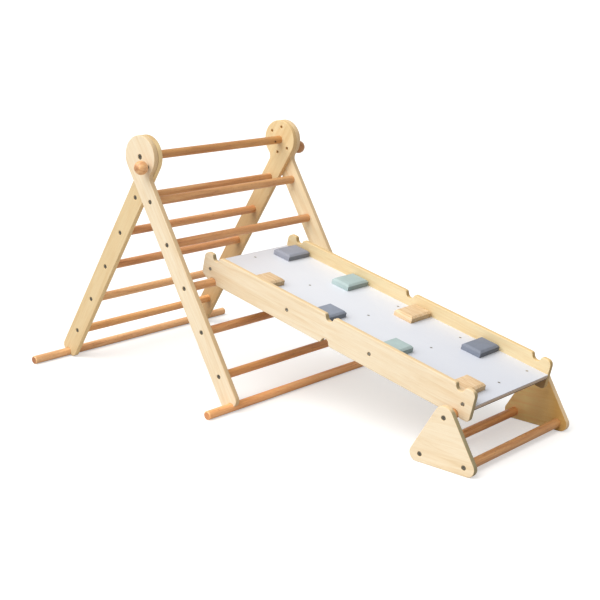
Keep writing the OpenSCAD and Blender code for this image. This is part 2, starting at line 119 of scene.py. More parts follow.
scene = bpy.context.scene
scene.view_settings.view_transform = "Standard"
scene.view_settings.look = "None"
scene.view_settings.exposure = 0.0
scene.view_settings.gamma = 1.0


# ---------------------------------------------------------------- node helpers
class Mat:
    """A small builder for procedural materials."""

    def __init__(self, name):
        self.m = bpy.data.materials.new(name)
        self.m.use_nodes = True
        self.nt = self.m.node_tree
        self.nt.nodes.clear()
        self.out = self.nt.nodes.new("ShaderNodeOutputMaterial")
        self.sh = self.nt.nodes.new("ShaderNodeBsdfPrincipled")
        self.link(self.sh.outputs[0], self.out.inputs[0])
        self.tc = self.nt.nodes.new("ShaderNodeTexCoord")

    def link(self, a, b):
        self.nt.links.new(a, b)

    def put(self, sock, v):
        if isinstance(v, bpy.types.NodeSocket):
            self.link(v, sock)
        else:
            sock.default_value = v

    def math(self, op, a, b=0.0, c=0.0, clamp=False):
        n = self.nt.nodes.new("ShaderNodeMath")
        n.operation = op
        n.use_clamp = clamp
        for i, v in enumerate((a, b, c)):
            self.put(n.inputs[i], v)
        return n.outputs[0]

    def vmul(self, v, s):
        n = self.nt.nodes.new("ShaderNodeVectorMath")
        n.operation = "MULTIPLY"
        self.put(n.inputs[0], v)
        self.put(n.inputs[1], s)
        return n.outputs[0]

    def vadd(self, v, s):
        n = self.nt.nodes.new("ShaderNodeVectorMath")
        n.operation = "ADD"
        self.put(n.inputs[0], v)
        self.put(n.inputs[1], s)
        return n.outputs[0]

    def turn(self, v, angle, axis=(0, 1, 0), centre=(0, 0, 0)):
        n = self.nt.nodes.new("ShaderNodeVectorRotate")
        n.rotation_type = "AXIS_ANGLE"
        self.put(n.inputs["Vector"], v)
        n.inputs["Center"].default_value = centre
        n.inputs["Axis"].default_value = axis
        n.inputs["Angle"].default_value = angle
        return n.outputs[0]

    def sep(self, v):
        n = self.nt.nodes.new("ShaderNodeSeparateXYZ")
        self.link(v, n.inputs[0])
        return n.outputs

    def comb(self, x, y, z):
        n = self.nt.nodes.new("ShaderNodeCombineXYZ")
        for i, v in enumerate((x, y, z)):
            self.put(n.inputs[i], v)
        return n.outputs[0]

    def noise(self, v, scale, detail=2.0, rough=0.5, dist=0.0, dims="3D"):
        n = self.nt.nodes.new("ShaderNodeTexNoise")
        n.noise_dimensions = dims
        self.link(v, n.inputs["Vector"])
        n.inputs["Scale"].default_value = scale
        n.inputs["Detail"].default_value = detail
        n.inputs["Roughness"].default_value = rough
        n.inputs["Distortion"].default_value = dist
        return n.outputs[0]

    def ramp(self, f, stops, mode="LINEAR"):
        n = self.nt.nodes.new("ShaderNodeValToRGB")
        n.color_ramp.interpolation = mode
        e = n.color_ramp.elements
        while len(e) < len(stops):
            e.new(0.5)
        for i, (p, c) in enumerate(stops):
            e[i].position = p
            e[i].color = (c[0], c[1], c[2], 1.0) if not isinstance(c, (int, float)) else (c, c, c, 1.0)
        self.link(f, n.inputs[0])
        return n.outputs[0]

    def mix(self, f, a, b, mode="MIX"):
        n = self.nt.nodes.new("ShaderNodeMix")
        n.data_type = "RGBA"
        n.blend_type = mode
        n.clamp_factor = True
        self.put(n.inputs[0], f)
        for i, v in ((6, a), (7, b)):
            if isinstance(v, (tuple, list)):
                v = (v[0], v[1], v[2], 1.0)
            self.put(n.inputs[i], v)
        return n.outputs[2]

    def span(self, v, a, b, c=0.0, d=1.0, smooth=True):
        n = self.nt.nodes.new("ShaderNodeMapRange")
        n.interpolation_type = "SMOOTHSTEP" if smooth else "LINEAR"
        n.clamp = True
        self.put(n.inputs[0], v)
        for i, x in enumerate((a, b, c, d)):
            n.inputs[i + 1].default_value = x
        return n.outputs[0]

    def bump(self, h, strength, dist, normal=None):
        n = self.nt.nodes.new("ShaderNodeBump")
        n.inputs["Strength"].default_value = strength
        n.inputs["Distance"].default_value = dist
        self.link(h, n.inputs["Height"])
        if normal is not None:
            self.link(normal, n.inputs["Normal"])
        return n.outputs[0]

    def done(self, color, rough, normal=None, metallic=0.0, coat=0.0, coat_rough=0.2, spec=0.5, sheen=0.0):
        self.put(self.sh.inputs["Base Color"], color if isinstance(color, bpy.types.NodeSocket) else (*color, 1.0))
        self.put(self.sh.inputs["Roughness"], rough)
        self.sh.inputs["Metallic"].default_value = metallic
        self.sh.inputs["Specular IOR Level"].default_value = spec
        self.sh.inputs["Coat Weight"].default_value = coat
        self.sh.inputs["Coat Roughness"].default_value = coat_rough
        self.sh.inputs["Sheen Weight"].default_value = sheen
        if normal is not None:
            self.link(normal, self.sh.inputs["Normal"])
        return self.m


def lin(r, g, b):
    """sRGB 0..255 to linear."""
    out = []
    for c in (r, g, b):
        c /= 255.0
        out.append(c / 12.92 if c <= 0.04045 else ((c + 0.055) / 1.055) ** 2.4)
    return tuple(out)


def coords(k, origin, angle, seed):
    """Object coordinates turned about Y so that z runs along the grain, in metres."""
    v = k.vadd(k.tc.outputs["Object"], (-origin[0], -origin[1], -origin[2]))
    v = k.turn(v, angle)
    return v


# ---------------------------------------------------------------- materials
FACE_A, FACE_B, FACE_C = lin(237, 223, 197), lin(232, 213, 182), lin(222, 198, 160)


def birch_ply(name, centre, angle, t, seed, tone=None, painted_light_fade=None, rim=None):
    """Lacquered birch plywood: veneer figure on the faces, layers on the edges.
    centre is a point on the sheet's middle plane (metres), angle turns the grain to z, t is the thickness (metres).
    The fade argument (axis, from, to, tone at from, tone at to) is painted light and shade, graded along the face that
    looks to -Y. The rim argument multiplies the edges that look to +X: painted shade, or painted light where it is
    above 1."""
    k = Mat(name)
    p = coords(k, centre, angle, seed)
    ps = k.vadd(p, (seed * 3.71, seed * 1.37, seed * 7.93))
    x, y, z = k.sep(p)
    # faces: rotary-cut veneer, long soft figure, fibres and small flecks
    slow = k.noise(k.vmul(ps, (1, 1, 0.22)), 7.0, 3, 0.55, 0.6)
    fig = k.noise(k.vmul(ps, (1, 0.2, 0.075)), 46.0, 4, 0.62, 1.1)
    fibre = k.noise(k.vmul(ps, (1, 0.2, 0.022)), 620.0, 3, 0.6, 0.2)
    fleck = k.noise(k.vmul(ps, (1, 0.3, 0.07)), 900.0, 2, 0.5)
    base = k.ramp(fig, [(0.28, FACE_C), (0.44, FACE_B), (0.62, FACE_A)])
    base = k.mix(k.span(slow, 0.35, 0.7, 0.0, 0.5), base, FACE_A)
    base = k.mix(k.span(fibre, 0.35, 0.75, 0.0, 0.20), base, lin(205, 166, 112))
    base = k.mix(k.span(fleck, 0.66, 0.76, 0.0, 0.22), base, lin(176, 132, 80))
    # edges: thirteen layers with thin glue lines, end grain and long grain in turn
    lay = k.math("MULTIPLY", k.math("ADD", k.math("DIVIDE", y, t), 0.5), 13.0)
    wob = k.math("MULTIPLY", k.math("SUBTRACT", k.noise(k.vmul(ps, (1, 0, 1)), 30.0, 2), 0.5), 0.35)
    lay = k.math("ADD", lay, wob)
    fr = k.math("FRACT", lay)
    odd = k.math("GREATER_THAN", k.math("FRACT", k.math("MULTIPLY", lay, 0.5)), 0.5)
    glue = k.span(k.math("ABSOLUTE", k.math("SUBTRACT", fr, 0.5)), 0.40, 0.47, 0.0, 1.0)
    en = k.noise(k.vmul(ps, (1, 6, 1)), 260.0, 4, 0.65)
    light = k.ramp(en, [(0.3, lin(214, 176, 122)), (0.7, lin(232, 200, 150))])
    dark = k.ramp(en, [(0.3, lin(150, 108, 62)), (0.7, lin(190, 148, 96))])
    edge = k.mix(odd, light, dark)
    edge = k.mix(k.math("MULTIPLY", glue, 0.55), edge, lin(104, 70, 40))
    scorch = k.noise(ps, 14.0, 3, 0.6)
    edge = k.mix(k.span(scorch, 0.45, 0.75, 0.0, 0.35), edge, lin(150, 108, 62))
    n = k.sep(k.tc.outputs["Normal"])
    # edges that look up are lighter: painted light from above
    edge = k.mix(k.span(n[2], 0.25, 0.8, 0.0, 0.55), edge, lin(236, 214, 172))
    # sanded and lacquered edges are nearly as pale as the faces
    edge = k.mix(0.55, edge, lin(244, 216, 174))
    if rim:
        # edges that look to +X, towards the ramp's lower end: painted shade on the ramp and stand, painted light on the
        # rear ladder
        edge = k.mix(k.span(n[0], 0.45, 0.9), edge, rim, "MULTIPLY")
    face = k.span(k.math("ABSOLUTE", n[1]), 0.72, 0.93)
    # painted light and shade: the face that looks to -Y made darker or lighter along one axis
    if painted_light_fade:
        axis, a, b, tone_a, tone_b = painted_light_fade
        painted_light_grade = k.mix(k.span((x, y, z)[axis], a, b, 0.0, 1.0, False), tone_a, tone_b)
        looks = k.span(k.math("MULTIPLY", n[1], -1.0), 0.5, 0.9)
        base = k.mix(looks, base, k.mix(1.0, base, painted_light_grade, "MULTIPLY"))
    color = k.mix(face, edge, base)
    if tone:
        color = k.mix(1.0, color, tone, "MULTIPLY")
    # a little grime and handling on the surface
    grime = k.noise(ps, 3.1, 4, 0.7)
    color = k.mix(k.span(grime, 0.52, 0.8, 0.0, 0.10), color, lin(190, 160, 118))
    rough = k.math("ADD", k.span(fibre, 0.3, 0.7, 0.42, 0.58), k.math("MULTIPLY", k.math("SUBTRACT", 1.0, face), 0.12))
    h = k.math("ADD", k.math("MULTIPLY", fibre, 0.6), k.math("MULTIPLY", fig, 0.4))
    h = k.math("ADD", h, k.math("MULTIPLY", k.math("SUBTRACT", 1.0, face), k.math("MULTIPLY", k.math("ADD", glue, en), -0.5)))
    nrm = k.bump(h, 0.22, 0.0006)
    return k.done(color, rough, nrm, coat=0.12, coat_rough=0.35)


def beech(name, seed, tint_and_painted_light=(1, 1, 1), axis="y", centre=(0, 0, 0), cap=None):
    """Lacquered beech: long streaks and short dark flecks along the bar."""
    k = Mat(name)
    p = k.vadd(k.tc.outputs["Object"], (seed * 2.31 - centre[0], seed * 5.17 - centre[1], seed * 1.93 - centre[2]))
    if axis == "y":
        s_long, s_fib, s_fleck = (1, 0.05, 1), (1, 0.02, 1), (1, 0.14, 1)
    else:
        s_long, s_fib, s_fleck = (1, 1, 0.12), (1, 1, 0.05), (1, 1, 0.2)
    streak = k.noise(k.vmul(p, s_long), 90.0, 4, 0.6, 0.8)
    slow = k.noise(k.vmul(p, (1, 0.35, 1)), 9.0, 3, 0.55, 0.3)
    fib = k.noise(k.vmul(p, s_fib), 900.0, 3, 0.6)
    fleck = k.noise(k.vmul(p, s_fleck), 520.0, 2, 0.5)
    a, b, c = lin(238, 182, 126), lin(222, 158, 104), lin(192, 126, 78)
    col = k.ramp(streak, [(0.3, c), (0.5, b), (0.68, a)])
    col = k.mix(k.span(slow, 0.35, 0.7, 0.0, 0.45), col, a)
    col = k.mix(k.span(fleck, 0.60, 0.72, 0.0, 0.40), col, lin(124, 72, 42))
    col = k.mix(k.span(fib, 0.4, 0.75, 0.0, 0.18), col, lin(226, 176, 132))
    # end grain is darker, and the ends are handled more
    n = k.sep(k.tc.outputs["Normal"])
    if axis == "y":
        end = k.span(k.math("ABSOLUTE", n[1]), 0.8, 0.98)
        rings = k.noise(k.vmul(p, (1, 0.01, 1)), 420.0, 3, 0.6)
        col = k.mix(k.math("MULTIPLY", end, 0.8), col, k.ramp(rings, [(0.35, lin(140, 84, 50)), (0.65, lin(186, 126, 84))]))
    # the tint is set per piece, partly the beech's own colour and partly painted light and shade
    col = k.mix(1.0, col, tint_and_painted_light, "MULTIPLY")
    if cap:
        col = k.mix(end, col, cap, "MULTIPLY")
    rough = k.span(fib, 0.3, 0.7, 0.34, 0.48)
    h = k.math("ADD", k.math("MULTIPLY", fib, 0.5), k.math("MULTIPLY", streak, 0.5))
    nrm = k.bump(h, 0.18, 0.0005)
    return k.done(col, rough, nrm, coat=0.18, coat_rough=0.28)


def zinc(name, seed, dark=0.0):
    """Dull zinc-plated steel with fine turning marks and darker patches."""
    k = Mat(name)
    p = k.vadd(k.tc.outputs["Object"], (seed, seed * 2.0, seed * 3.0))
    n1 = k.noise(p, 260.0, 4, 0.6)
    n2 = k.noise(k.vmul(p, (1, 8, 1)), 900.0, 2, 0.5)
    c = k.ramp(n1, [(0.3, lin(92 - dark, 88 - dark, 80 - dark)), (0.7, lin(140 - dark, 136 - dark, 126 - dark))])
    rough = k.span(n1, 0.3, 0.7, 0.32, 0.50)
    nrm = k.bump(n2, 0.12, 0.0002)
    return k.done(c, rough, nrm, metallic=0.85)


def laminate(name):
    """Smooth white facing with a faint bluish tone, a fine orange peel and light scuffs."""
    k = Mat(name)
    p = k.turn(k.tc.outputs["Object"], -SLOPE)
    tone = k.noise(p, 2.4, 3, 0.6)
    scuff = k.noise(k.vmul(p, (0.12, 1, 1)), 70.0, 4, 0.7, 0.5)
    fine = k.noise(p, 1400.0, 2, 0.5)
    c = k.ramp(tone, [(0.3, lin(232, 235, 243)), (0.7, lin(237, 240, 247))])
    c = k.mix(k.span(scuff, 0.62, 0.75, 0.0, 0.16), c, lin(204, 208, 217))
    # greyer towards the lower end: painted shade
    down = k.sep(k.vadd(k.tc.outputs["Object"], ((X_MID - HOOK_X) * MM, 0, 0)))[0]
    c = k.mix(k.span(down, -0.06, 1.15, 0.0, 1.0, False), c, (0.80, 0.81, 0.84), "MULTIPLY")
    rough = k.math("ADD", k.span(scuff, 0.5, 0.72, 0.34, 0.52), k.math("MULTIPLY", fine, 0.05))
    nrm = k.bump(fine, 0.06, 0.0002)
    return k.done(c, rough, nrm)


def shaded_side_mask(k):
    """1 on the side of a block that looks down the ramp, which gets painted shade."""
    n = k.sep(k.turn(k.tc.outputs["Normal"], -SLOPE))
    return k.span(n[0], 0.78, 0.96)


def paint(name, rgb, centre, seed, grain=0.5):
    """Matt paint on wood: the grain shows faintly, and the side that looks down the ramp is darkened with painted
    shade.
    """
    k = Mat(name)
    p = coords(k, centre, math.pi / 2 - SLOPE, seed)
    ps = k.vadd(p, (seed * 3.1, seed * 2.2, seed * 5.3))
    fib = k.noise(k.vmul(ps, (1, 1, 0.05)), 420.0, 4, 0.65, 0.3)
    slow = k.noise(ps, 22.0, 3, 0.6)
    a = tuple(min(255, c * 1.05) for c in rgb)
    b = tuple(c * 0.93 for c in rgb)
    c = k.ramp(fib, [(0.3, lin(*b)), (0.7, lin(*rgb))])
    c = k.mix(k.span(slow, 0.4, 0.75, 0.0, 0.45), c, lin(*a))
    # painted shade on the side that looks down the ramp
    c = k.mix(shaded_side_mask(k), c, (0.54, 0.54, 0.52), "MULTIPLY")
    rough = k.span(fib, 0.3, 0.7, 0.55, 0.70)
    nrm = k.bump(fib, 0.3 * grain, 0.0006)
    return k.done(c, rough, nrm)


def block_wood(name, centre, seed):
    """Clear-lacquered pale hardwood with a straight warm grain."""
    k = Mat(name)
    p = coords(k, centre, math.pi / 2 - SLOPE, seed)
    ps = k.vadd(p, (seed * 3.1, seed * 2.2, seed * 5.3))
    fig = k.noise(k.vmul(ps, (1, 1, 0.10)), 95.0, 4, 0.6, 1.4)
    fib = k.noise(k.vmul(ps, (1, 1, 0.04)), 620.0, 3, 0.6)
    c = k.ramp(fig, [(0.3, lin(210, 172, 124)), (0.5, lin(231, 199, 156)), (0.68, lin(243, 219, 186))])
    c = k.mix(k.span(fib, 0.45, 0.75, 0.0, 0.30), c, lin(198, 152, 102))
    # painted shade on the side that looks down the ramp
    c = k.mix(shaded_side_mask(k), c, (0.61, 0.58, 0.48), "MULTIPLY")
    rough = k.span(fib, 0.3, 0.7, 0.42, 0.55)
    nrm = k.bump(k.math("ADD", k.math("MULTIPLY", fig, 0.4), fib), 0.2, 0.0005)
    return k.done(c, rough, nrm, coat=0.1, coat_rough=0.35)


def board_ply(name, centre):
    """Plywood seen on its edges and underside: layers across the thickness."""
    k = Mat(name)
    p = coords(k, centre, math.pi / 2 - SLOPE, 0)   # z along the ramp, x across its thickness
    x, y, z = k.sep(p)
    fig = k.noise(k.vmul(p, (1, 1, 0.08)), 60.0, 4, 0.6, 1.0)
    fib = k.noise(k.vmul(p, (1, 1, 0.03)), 500.0, 3, 0.6)
    c = k.ramp(fig, [(0.3, lin(196, 168, 128)), (0.65, lin(222, 198, 158))])
    c = k.mix(k.span(fib, 0.4, 0.75, 0.0, 0.25), c, lin(170, 138, 98))
    lay = k.math("ADD", k.math("DIVIDE", x, BOARD_T * MM), k.math("MULTIPLY", k.math("SUBTRACT", k.noise(k.vmul(p, (0, 1, 1)), 40.0, 2), 0.5), 0.05))
    # layers across the thickness; the darkest layer at the bottom is painted shade, a dark line under the board
    e = k.ramp(lay, [(0.0, lin(66, 47, 32)), (0.22, lin(214, 188, 160)), (0.34, lin(158, 138, 120)), (0.44, lin(212, 188, 164)),
                     (0.56, lin(146, 128, 116)), (0.66, lin(206, 190, 182)), (0.88, lin(150, 138, 136))], "CONSTANT")
    e = k.mix(k.span(k.noise(p, 300.0, 4, 0.65), 0.35, 0.7, 0.0, 0.3), e, lin(150, 132, 116))
    n = k.sep(k.turn(k.tc.outputs["Normal"], math.pi / 2 - SLOPE))
    face = k.span(k.math("ABSOLUTE", n[0]), 0.6, 0.9)
    c = k.mix(face, e, c)
    rough = k.span(fib, 0.3, 0.7, 0.55, 0.7)
    return k.done(c, rough, k.bump(fib, 0.2, 0.0005))


# ---------------------------------------------------------------- shapes
def arc(cx, cy, r, a0, a1, n):
    return [(cx + r * math.cos(math.radians(a0 + (a1 - a0) * i / n)), cy + r * math.sin(math.radians(a0 + (a1 - a0) * i / n))) for i in range(n + 1)]


def circle(cx, cy, r, n=40):
    return arc(cx, cy, r, 0, 360, n)[:-1]


def meet(c0, r0, c1, r1, side):
    """One of the two points where two circles cross."""
    dx, dy = c1[0] - c0[0], c1[1] - c0[1]
    d = math.hypot(dx, dy)
    a = (r0 * r0 - r1 * r1 + d * d) / (2 * d)
    h = math.sqrt(max(0.0, r0 * r0 - a * a)) * side
    return c0[0] + (a * dx - h * dy) / d, c0[1] + (a * dy + h * dx) / d


def angle_of(c, p):
    return math.degrees(math.atan2(p[1] - c[1], p[0] - c[0]))


def tidy(pts, eps=0.05):
    out = []
    for p in pts:
        if not out or math.hypot(p[0] - out[-1][0], p[1] - out[-1][1]) > eps:
            out.append(p)
    if math.hypot(out[0][0] - out[-1][0], out[0][1] - out[-1][1]) <= eps:
        out.pop()
    return out


def new_obj(name, mesh):
    o = bpy.data.objects.new(name, mesh)
    bpy.context.scene.collection.objects.link(o)
    return o


def finish_mesh(me, angle=30, flat_area=None):
    """Smooth shading, with the big flat faces kept flat (flat_area in square metres)."""
    for p in me.polygons:
        p.use_smooth = flat_area is None or p.area < flat_area
    me.set_sharp_from_angle(angle=math.radians(angle))


def sheet_mesh(name, outline, holes, y0, t, matrix, edge=2.4, segs=3):
    """A ply sheet from its outline (local x, z), with routed, rounded edges all round and at each hole."""
    cu = bpy.data.curves.new(name, "CURVE")
    cu.dimensions = "2D"
    cu.fill_mode = "BOTH"
    for pts in [outline] + holes:
        sp = cu.splines.new("POLY")
        sp.points.add(len(pts) - 1)
        for i, (x, z) in enumerate(pts):
            sp.points[i].co = (x, z, 0, 1)
        sp.use_cyclic_u = True
    cu.extrude = t / 2 - edge
    cu.bevel_depth = edge
    cu.bevel_resolution = segs
    cu.offset = -edge
    tmp = bpy.data.objects.new(name + "_tmp", cu)
    bpy.context.scene.collection.objects.link(tmp)
    dg = bpy.context.evaluated_depsgraph_get()
    me = bpy.data.meshes.new_from_object(tmp.evaluated_get(dg))
    bpy.data.objects.remove(tmp)
    bpy.data.curves.remove(cu)
    # curve x, y, z becomes local x, -y, z: the sheet stands in the x-z plane
    stand = Matrix(((1, 0, 0, 0), (0, 0, -1, y0 + t / 2), (0, 1, 0, 0), (0, 0, 0, 1)))
    bm = bmesh.new()
    bm.from_mesh(me)
    bmesh.ops.remove_doubles(bm, verts=bm.verts, dist=0.01)
    bmesh.ops.dissolve_degenerate(bm, dist=0.01, edges=bm.edges)
    bm.transform(place(matrix @ stand))
    bmesh.ops.recalc_face_normals(bm, faces=bm.faces)
    bm.to_mesh(me)
    bm.free()
    me.name = name
    finish_mesh(me, 32)
    for p in me.polygons:
        if abs(p.normal.y) > 0.999:
            p.use_smooth = False
    return new_obj(name, me)


def rail_outline():
    cx = HI + NECK_R
    cs = math.sqrt((HEAD_R + NECK_R) ** 2 - cx * cx)
    ta = math.degrees(math.atan2(cs, -cx))
    neck_c = (cx, -cs)
    start = angle_of((0, 0), (HEAD_R * cx / (HEAD_R + NECK_R), -HEAD_R * cs / (HEAD_R + NECK_R)))
    notch_c = (-OFF, -FOOT)
    nr = RR + 0.05
    t_in = (LO + TOE_R, -END + TOE_R)
    t_out = (HI - TOE_R, -END + TOE_R)
    q_in = min((meet(t_in, TOE_R, notch_c, nr, s) for s in (1, -1)), key=lambda q: q[1])
    q_out = min((meet(t_out, TOE_R, notch_c, nr, s) for s in (1, -1)), key=lambda q: q[1])
    pts = []
    pts += arc(0, 0, HEAD_R, start, 180, 60)
    a1 = angle_of(t_in, q_in) % 360
    pts += arc(*t_in, TOE_R, 180, a1, 12)
    b0, b1 = angle_of(notch_c, q_in) % 360, angle_of(notch_c, q_out) % 360
    if b1 > 180:
        b1 -= 360
    pts += arc(*notch_c, nr, b0, b1, 20)
    a0 = angle_of(t_out, q_out) % 360
    pts += arc(*t_out, TOE_R, a0, 360, 12)
    pts += arc(*neck_c, NECK_R, 180, ta, 16)
    return tidy(pts)


def rail(name, node, matrix, y_out, body, holes, far):
    m = (FAR @ matrix) if far else matrix
    o = sheet_mesh(name, rail_outline(), holes, -y_out, PLY, m)
    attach(o, body)
    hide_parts(node)
    return o


def notch_path(x, edge, up, lip=11.0):
    """The way along an edge through a half-round notch with rounded lips. up is 1 on the top edge."""
    zc = edge - up * NOTCH_IN
    d = NOTCH_IN - lip
    a = math.sqrt((NOTCH_R + lip) ** 2 - d * d)
    pts = []
    lc = (-a, zc + up * d)
    # lip on the left, then the half round, then the lip on the right (left to right)
    ang = math.degrees(math.atan2(-up * d, a))          # from the lip's centre to the notch's centre
    pts += [(x + px, pz) for px, pz in arc(lc[0], lc[1], lip, 90 * up, ang, 7)]
    b0 = math.degrees(math.atan2(up * d, -a)) % 360     # from the notch's centre to the left lip
    b1 = math.degrees(math.atan2(up * d, a)) % 360
    if up > 0:
        if b0 > 180 + 90:
            b0 -= 360
        if b1 < 180:
            b1 += 360
    else:
        if b0 < 90:
            b0 += 360
        if b1 > 180:
            b1 -= 360
    pts += [(x + px, pz) for px, pz in arc(0, zc, NOTCH_R, b0, b1, 18)]
    rc = (a, zc + up * d)
    ang2 = 180 - ang
    pts += [(x + px, pz) for px, pz in arc(rc[0], rc[1], lip, ang2 if up > 0 else ang2 - 360 * (ang2 > 180), 90 * up, 7)]
    return pts


def panel_outline():
    r, rt = 14.0, 20.0
    x0, x1 = -RAMP_END, SPAN + RAMP_END
    pts = []
    # top edge, left to right
    pts += arc(x0 + rt, P_HI - rt, rt, 180, 90, 8)
    for x in (0, MID, SPAN):
        pts += notch_path(x, P_HI, 1)
    pts += arc(x1 - rt, P_HI - rt, rt, 90, 0, 8)
    # bottom edge, right to left
    pts += arc(x1 - r, P_LO + r, r, 0, -90, 8)
    for x in (SPAN, MID):
        pts += notch_path(x, P_LO, -1)[::-1]
    hook = notch_path(0, P_LO, -1, 7.0)[::-1]
    hook = [q for q in hook if q[0] > -NOTCH_R + 0.4 or q[1] > 1.0]
    hook = [q for q in hook if not (q[0] < -15.9 and q[1] < 2.5)]
    pts += hook
    # the hook end's underside is cut back, so that it drops over a rung
    pts += [(-16.6, 2.4), (-17.4, 3.4), (-19.2, 3.0), (-22.0, 2.3)]
    pts += arc(-NOTCH_R - 9, P_LO + 14, 7, 270, 245, 3)
    pts += arc(x0 + 10, P_LO + 30, 10, 245, 180, 6)
    return tidy(pts[::-1])


def plate_outline():
    a = math.degrees(math.atan2(STAND_H - PLATE_R, PLATE_HALF))
    d = math.hypot(STAND_H - PLATE_R, PLATE_HALF)
    b = math.degrees(math.asin((PLATE_TOP - PLATE_R) / d))
    t = 90 - a + b
    pts = arc(PLATE_HALF, PLATE_R, PLATE_R, -90, t, 18)
    pts += arc(0, STAND_H, PLATE_TOP, t, 180 - t, 26)
    pts += arc(-PLATE_HALF, PLATE_R, PLATE_R, 180 - t, 270, 18)
    return tidy(pts)


def lathe(profile, segs=56, closed_top=True):
    """A turned solid from (radius, height) pairs along +z, in millimetres. Ends at radius 0 close to a point."""
    bm = bmesh.new()
    rings = []
    for r, z in profile:
        if r < 1e-6:
            rings.append([bm.verts.new((0, 0, z))])
        else:
            rings.append([bm.verts.new((r * math.cos(2 * math.pi * i / segs), r * math.sin(2 * math.pi * i / segs), z)) for i in range(segs)])
    bridge(bm, rings, segs)
    return bm


def bridge(bm, rings, segs):
    for a, b in zip(rings, rings[1:]):
        for i in range(segs):
            j = (i + 1) % segs
            if len(a) == 1:
                bm.faces.new((a[0], b[j], b[i]))
            elif len(b) == 1:
                bm.faces.new((a[i], a[j], b[0]))
            else:
                bm.faces.new((a[i], a[j], b[j], b[i]))


def screw_bm(head_r, head_t, shank_r, length, hexagon, deep, segs=48):
    """A flat-headed screw along -z with its head's top at z = 0 and a hexagon socket."""
    bm = bmesh.new()

    def ring(f, z):
        return [bm.verts.new((*f(2 * math.pi * i / segs), z)) for i in range(segs)]

    def circ(r):
        return lambda a: (r * math.cos(a), r * math.sin(a))

    def hexa(r):
        def f(a):
            s = math.pi / 3
            m = a % s - s / 2
            q = r * math.cos(s / 2) / math.cos(m)
            return q * math.cos(a), q * math.sin(a)
        return f
    rings = [[bm.verts.new((0, 0, -length))],
             ring(circ(shank_r * 0.6), -length + shank_r), ring(circ(shank_r), -length + 2.2 * shank_r),
             ring(circ(shank_r), -head_t - 1.2), ring(circ(shank_r + 0.8), -head_t),
             ring(circ(head_r), -head_t), ring(circ(head_r), -0.7), ring(circ(head_r - 0.25), -0.25), ring(circ(head_r - 0.8), 0.0),
             ring(hexa(hexagon + 0.5), 0.0), ring(hexa(hexagon), -0.4), ring(hexa(hexagon), -deep),
             [bm.verts.new((0, 0, -deep - 0.6))]]
    bridge(bm, rings, segs)
    return bm


def place_many(name, make, spots, body, node, mat):
    """One object that holds a copy of a small mesh at each spot's matrix (millimetres)."""
    bm = bmesh.new()
    src = make()
    tmp = bpy.data.meshes.new("tmp")
    src.to_mesh(tmp)
    src.free()
    for m in spots:
        part = bmesh.new()
        part.from_mesh(tmp)
        part.transform(place(m))
        if m.determinant() < 0:
            bmesh.ops.reverse_faces(part, faces=part.faces)
        t2 = bpy.data.meshes.new("tmp2")
        part.to_mesh(t2)
        part.free()
        bm.from_mesh(t2)
        bpy.data.meshes.remove(t2)
    bpy.data.meshes.remove(tmp)
    me = bpy.data.meshes.new(name)
    bmesh.ops.recalc_face_normals(bm, faces=bm.faces)
    bm.to_mesh(me)
    bm.free()
    finish_mesh(me, 35)
    me.materials.append(mat)
    o = new_obj(name, me)
    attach(o, body)
    if node:
        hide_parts(node)
    return o


# local frame whose +z points outwards along -Y, for heads on the near side
TO_NEAR = Matrix.Rotation(math.radians(90), 4, "X")


# ---------------------------------------------------------------- ladders
def grain_angle(lx, lz):
    """The turn about Y that brings the direction (lx, lz) to z."""
    return math.atan2(-lx, lz)


sin_h, cos_h = math.sin(HALF), math.cos(HALF)
front_screws = [(-OFF, -s) for s in RUNG_S]


ia = math.radians(INDEX_A)
lock_world = (INDEX_R * math.cos(ia), -INDEX_R * math.sin(ia))
inv_front = (Matrix.Rotation(-HALF, 4, "Y")).inverted()
lv = inv_front @ Vector((lock_world[0], 0, lock_world[1]))
front_holes = [circle(x, z, 8.0, 32) for x, z in front_screws] + [circle(0, 0, 9.6, 36), circle(lv.x, lv.z, 6.0, 28)]
inv_rear = (Matrix.Scale(-1, 4, (1, 0, 0)) @ Matrix.Rotation(-HALF, 4, "Y")).inverted()
rear_holes = [circle(x, z, 8.0, 32) for x, z in front_screws]
for turn in (0.0, 180 - OPEN, 180.0, -OPEN):
    a = math.radians(turn - INDEX_A)
    w = inv_rear @ Vector((INDEX_R * math.cos(a), 0, INDEX_R * math.sin(a)))
    rear_holes.append(circle(w.x, w.z, 5.6, 28))

parts = {}
for far in (False, True):
    side = "far" if far else "near"
    parts["front_" + side] = rail(f"front_rail_{side}_ply", f"front_rail_{side}", AT_FRONT, OUT_Y, "front_ladder", front_holes, far)
    parts["rear_" + side] = rail(f"rear_rail_{side}_ply", f"rear_rail_{side}", AT_REAR, IN_Y, "rear_ladder", rear_holes, far)
fa = grain_angle(math.sin(HALF), -math.cos(HALF))
ra = grain_angle(-math.sin(HALF), -math.cos(HALF))
piv = (-X_MID * MM, 0, PIVOT_Z * MM)
for i, (key, ymid, ang) in enumerate((("front_near", -OUT_Y + PLY / 2, fa), ("front_far", OUT_Y - PLY / 2, fa), ("rear_near", -IN_Y + PLY / 2, ra), ("rear_far", IN_Y - PLY / 2, ra))):
    # painted light and shade: the far rear rail's inner face darker further from the head, the far front rail's
    # lighter, and the rear near rail's edges that look to +X lighter
    mat = birch_ply("birch_" + key, (piv[0], ymid * MM, piv[2]), ang, PLY * MM, 1.0 + i * 1.7, {"rear_near": (0.87, 0.79, 0.62), "rear_far": (0.98, 0.92, 0.76)}.get(key),
                    {"rear_far": (2, 0.12, 0.36, (1.0, 0.98, 0.92), (0.66, 0.55, 0.44)), "front_far": (2, 0.10, 0.50, (1.12, 1.09, 0.98), (1.17, 1.17, 1.10))}.get(key),
                    (1.40, 1.60, 1.85) if key == "rear_near" else None)
    parts[key].data.materials.append(mat)

